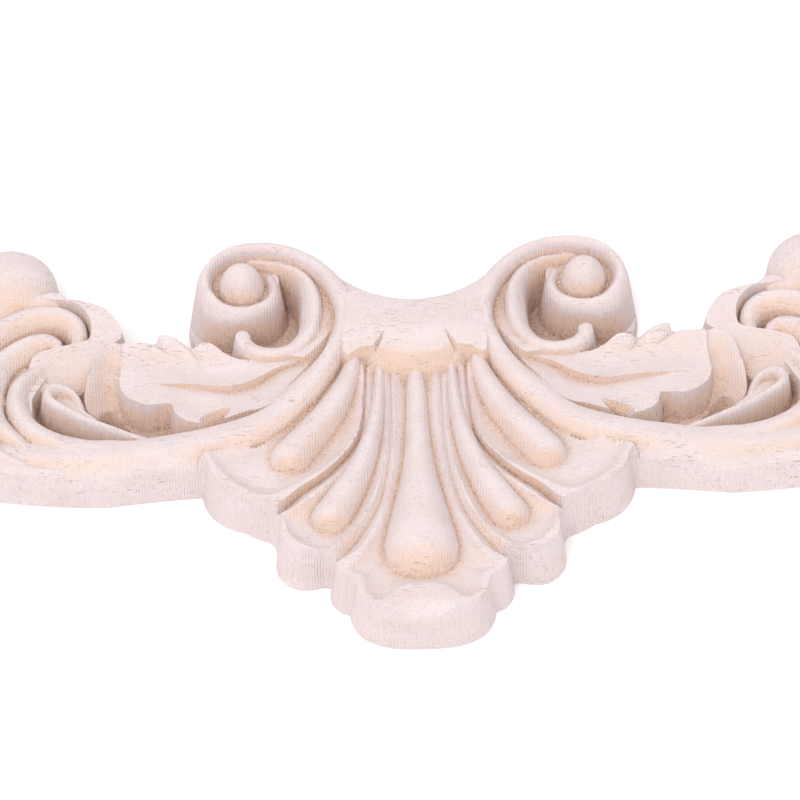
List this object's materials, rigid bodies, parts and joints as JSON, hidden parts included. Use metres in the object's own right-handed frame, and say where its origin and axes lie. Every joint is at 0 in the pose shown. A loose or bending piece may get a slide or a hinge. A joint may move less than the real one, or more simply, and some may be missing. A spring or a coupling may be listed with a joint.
{
  "type": "carved wooden onlay",
  "caption": "Raw wooden furniture onlay: a carved shell between two scrolled volutes, with a leafy scroll arm on each side. It lies on its flat back.",
  "frame": {"origin": "on the flat back, in the middle of the work's length and height", "axes": "+X along the length, +Y from the shell's tip towards the volutes, +Z out of the carved face"},
  "size_m": [0.2208, 0.0846, 0.0145],
  "materials": {
    "wood": "raw, machine-carved, unsanded rubberwood, matt"
  },
  "bodies": {
    "root": {"carved_onlay": "wood"}
  },
  "joints": []
}
